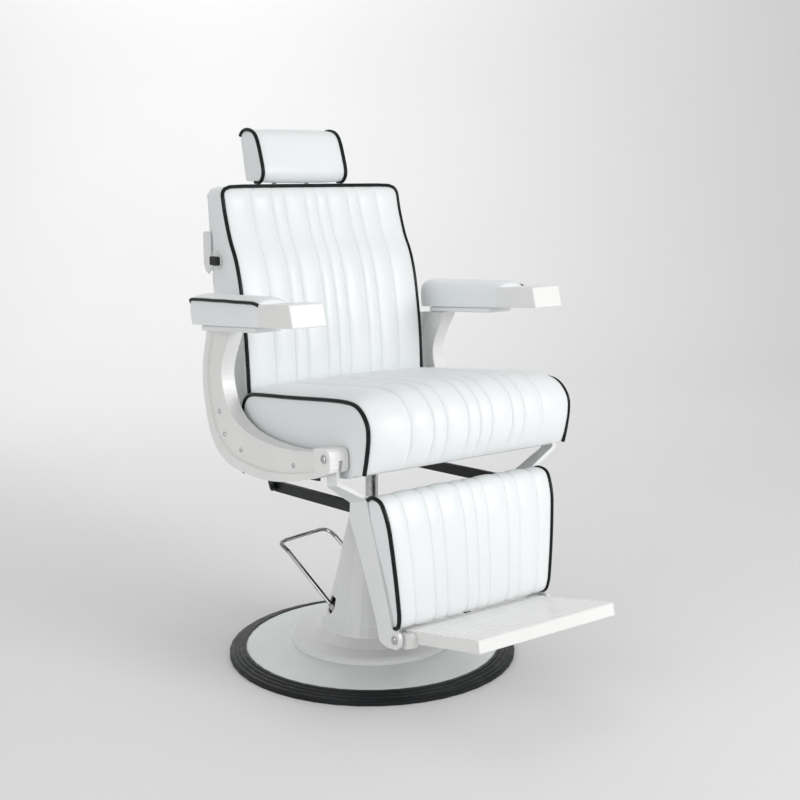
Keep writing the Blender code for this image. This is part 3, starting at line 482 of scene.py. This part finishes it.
def back_cushion():
    face = [(0.129, 0.560), (0.130, 0.610), (0.139, 0.728), (0.154, 0.824), (0.165, 0.869),
            (0.179, 0.906), (0.200, 0.944), (0.220, 0.998), (0.229, 1.034), (0.2355, 1.059)]
    rear = [(0.244, 0.562), (0.258, 0.660), (0.275, 0.800), (0.2815, 0.880), (0.290, 0.965),
            (0.2965, 1.059)]
    piece, front, normal, width = cushion("back_cushion", face, rear, BACK_HALF, 0.008, 0.003,
                                          SEAMS, 0.0062, rows=110, corner=(0, 0.022),
                                          end_fade=(0.14, 0.03))
    cover(piece, "back", "back_pad")
    left = [(-(width[r] + 0.0005), *(front[r] + normal[r] * 0.0015)) for r in range(len(front))]
    top = [(x, *(front[-1] + normal[-1] * 0.0015 + (0, 0.0012)))
           for x in np.linspace(-width[-1], width[-1], 14)[1:-1]]
    right = [(-x, y, z) for x, y, z in reversed(left)]
    tube("back_piping", [*left, *top, *right], PIPING, PIPE, "back")


def headrest_cushion():
    face = [(0.300, 1.0700), (0.277, 1.0715), (0.265, 1.0900), (0.273, 1.1220), (0.289, 1.1620),
            (0.305, 1.1800), (0.330, 1.1870), (0.352, 1.1840), (0.364, 1.1740)]
    rear = [(0.318, 1.0705), (0.340, 1.0720), (0.3470, 1.0900), (0.3560, 1.1300), (0.3625, 1.1640)]
    piece, front, normal, width = cushion("headrest_cushion", face, rear, HEAD_HALF, 0.0035, 0.0035,
                                          rows=70, end_fade=(0.02, 0.02), slack=0.0004)
    cover(piece, "headrest", "headrest_pad", "headrest_board")
    for side, sign in SIDES:
        side_piping("headrest_piping_" + side, front, normal, width, "headrest", sign)


def legrest_cushion():
    face = [(-0.3535, 0.1985), (-0.3620, 0.2010), (-0.3690, 0.2080), (-0.3730, 0.2240),
            (-0.3735, 0.2450), (-0.3710, 0.3050), (-0.3650, 0.3760), (-0.3590, 0.4150),
            (-0.3470, 0.4450), (-0.3360, 0.4565), (-0.3140, 0.4590), (-0.2985, 0.4520)]
    rear = [(-0.3530, 0.2000), (-0.3448, 0.2510), (-0.3283, 0.3260), (-0.3171, 0.3690),
            (-0.3095, 0.4010), (-0.2995, 0.4470)]
    piece, front, normal, width = cushion("legrest_cushion", face, rear, LEG_HALF, 0.005, 0.002,
                                          SEAMS, 0.0044, rows=80, end_fade=(0.03, 0.03),
                                          taper=lambda z: LEG_LOW_HALF + LEG_SPLAY * (z - LEG_LOW_Z))
    cover(piece, "legrest", "legrest_pad")
    for side, sign in SIDES:
        side_piping("legrest_piping_" + side, front, normal, width, "legrest", sign)


# Section of an arm cushion, as (out from its middle, above its piping)
ARM_DEPTH = 0.0485
ARM_CORNER = 12
ARM_OUTER = [(0.0382, -ARM_DEPTH), (0.0412, -0.0250), (0.0385, 0.0)]
ARM_TOP = [(0.0385, 0.0), (0.0300, 0.0060), (0.0120, 0.0102), (-0.0120, 0.0096),
           (-0.0270, 0.0050), (-0.0355, -0.0035), (-0.0388, -0.0140), (-0.0390, -0.0300),
           (-0.0378, -ARM_DEPTH)]


def inset(distance, radius):
    """How far a rounded end draws in at a distance from its tip."""
    short = np.clip(radius - distance, 0, radius)
    return radius - math.sqrt(radius ** 2 - short ** 2)


# Lines of an arm cushion from front to rear, as (y, z): its piping, and its underside
ARM_UPPER = [(-0.1110, 0.8365), (-0.0400, 0.8330), (0.0600, 0.8280), (0.1400, 0.8240),
             (0.1860, 0.8215)]
ARM_LOWER = [(-0.1140, 0.7880), (0.0000, 0.7795), (0.1000, 0.7720), (0.1820, 0.7660)]

# At each end of an arm cushion: the radius of its edge, how far its top dips, and over what length
ARM_FRONT = (0.005, 0.0045, 0.028)
ARM_REAR = (0.012, 0.0035, 0.022)


def arm_end(distance, radius, dip, reach):
    """How far an arm cushion draws in, and how far its top dips, at a distance from its end."""
    return inset(distance, radius), dip * max(0.0, 1 - distance / reach) ** 1.5


def arm_cushions():
    """Each cover wraps over the inner edge and is piped along its outer top edge."""
    steps, rings_wanted = 400, 81
    place = np.round((1 - np.cos(np.linspace(0, math.pi, rings_wanted))) * steps / 2).astype(int)
    upper = flowing(ARM_UPPER, steps)[place]
    lower = flowing(ARM_LOWER, steps)[place]
    section = np.array([*flowing(ARM_OUTER, ARM_CORNER)[:-1], *flowing(ARM_TOP, 40)])
    run = np.concatenate([[0], np.cumsum(np.linalg.norm(np.diff(upper, axis=0), axis=1))])
    for side, sign in SIDES:
        rings, edge = [], []
        for top, low, along in zip(upper, lower, run):
            up = (top - low) / np.linalg.norm(top - low)
            ends = (arm_end(along, *ARM_FRONT), arm_end(run[-1] - along, *ARM_REAR))
            draw = ends[0][0] + ends[1][0]
            sink = ends[0][1] + 0.8 * draw + ends[1][1]
            ring = []
            for u, v in section:
                rise = max(0.0, 1 + v / ARM_DEPTH)
                depth = np.linalg.norm(top - low) / ARM_DEPTH if v < 0 else 1.0
                height = v * depth - sink * rise + 0.0004 * rise * wave(u * 2, along * 1.5, v * 2)
                y, z = top + up * height
                ring.append((sign * (ARM_CENTRE + u * (1 - draw / 0.040)), y, z))
            rings.append(ring)
            edge.append((ring[ARM_CORNER][0] + sign * 0.0006, *ring[ARM_CORNER][1:]))
        count = len(section)
        faces = [(r * count + c, r * count + (c + 1) % count,
                  (r + 1) * count + (c + 1) % count, (r + 1) * count + c)
                 for r in range(len(rings) - 1) for c in range(count)]
        faces += [tuple(range(count)), tuple(range((len(rings) - 1) * count, len(rings) * count))]
        mesh = bpy.data.meshes.new("arm_cushion_" + side)
        mesh.from_pydata([p for ring in rings for p in ring], [], faces)
        piece = finished("arm_cushion_" + side, mesh)
        cover(piece, "seat", "arm_pad_" + side)
        tube("arm_piping_" + side, edge, PIPE_ARM, PIPE, "seat")


# Setting

CAMERA_PLACE = (-1.63086, -2.29905, 1.09989)
CAMERA_YAW = 0.6398
CAMERA_PITCH = 0.17991
CAMERA_LENS = 57.29


def make_camera():
    yaw, pitch = CAMERA_YAW, CAMERA_PITCH
    ahead = Vector((math.sin(yaw) * math.cos(pitch), math.cos(yaw) * math.cos(pitch),
                    -math.sin(pitch)))
    right = Vector((math.cos(yaw), -math.sin(yaw), 0))
    up = right.cross(ahead)
    turn = Matrix((right, up, -ahead)).transposed().to_4x4()
    data = bpy.data.cameras.new("camera")
    data.lens = CAMERA_LENS
    data.sensor_width = 36.0
    camera = bpy.data.objects.new("camera", data)
    camera.matrix_world = Matrix.Translation(CAMERA_PLACE) @ turn
    bpy.context.scene.collection.objects.link(camera)
    bpy.context.scene.camera = camera


def area_light(name, place, target, size, power):
    data = bpy.data.lights.new(name, "AREA")
    data.shape = "RECTANGLE"
    data.size = size[0]
    data.size_y = size[1]
    data.energy = power
    lamp = bpy.data.objects.new(name, data)
    lamp.location = place
    lamp.rotation_euler = (Vector(target) - Vector(place)).to_track_quat("-Z", "Y").to_euler()
    bpy.context.scene.collection.objects.link(lamp)


def floor_finish():
    look = Finish("pale_floor")
    look.colour((0.795, 0.795, 0.795), (0.810, 0.810, 0.810), look.noise(0.8, 2))
    look.roughness(0.65, 0.75, look.noise(3, 2))
    look.bump(look.noise(60, 2), 0.0002, 0.1)
    return look.material


def studio():
    """A pale floor that curves up into a backdrop, and soft lights."""
    profile = [(-9.0, 0.0), (4.0, 0.0)]
    profile += [(4.0 + 2.0 * math.sin(a), 2.0 - 2.0 * math.cos(a))
                for a in np.linspace(0.1, math.pi / 2, 12)]
    profile += [(6.0, 9.0)]
    mesh = bpy.data.meshes.new("backdrop")
    verts = [(x, y, z) for y, z in profile for x in (-12.0, 12.0)]
    faces = [(2 * k, 2 * k + 1, 2 * k + 3, 2 * k + 2) for k in range(len(profile) - 1)]
    mesh.from_pydata(verts, [], faces)
    mesh.shade_smooth()
    mesh.materials.append(floor_finish())
    floor = bpy.data.objects.new("backdrop", mesh)
    floor.rotation_euler = (0, 0, -CAMERA_YAW)
    bpy.context.scene.collection.objects.link(floor)
    area_light("key", (1.2, -4.1, 2.0), (0, 0, 0.5), (1.6, 1.6), 98)
    area_light("fill", (-3.6, -0.8, 1.6), (0, 0, 0.5), (2.6, 2.6), 30)
    area_light("top", (-0.4, 0.4, 4.2), (0, 0, 0.4), (2.4, 2.4), 14)
    area_light("backdrop_wash", (0.6, 3.3, 4.5), (2.4, 5.7, 1.8), (3.0, 3.0), 115)
    world = bpy.data.worlds.new("studio")
    world.use_nodes = True
    world.node_tree.nodes["Background"].inputs["Color"].default_value = (1.0, 1.0, 1.0, 1)
    world.node_tree.nodes["Background"].inputs["Strength"].default_value = 0.475
    bpy.context.scene.world = world
    bpy.context.scene.view_settings.view_transform = "Standard"


dress_cad()
seat_cushion()
back_cushion()
headrest_cushion()
legrest_cushion()
arm_cushions()
make_camera()
studio()
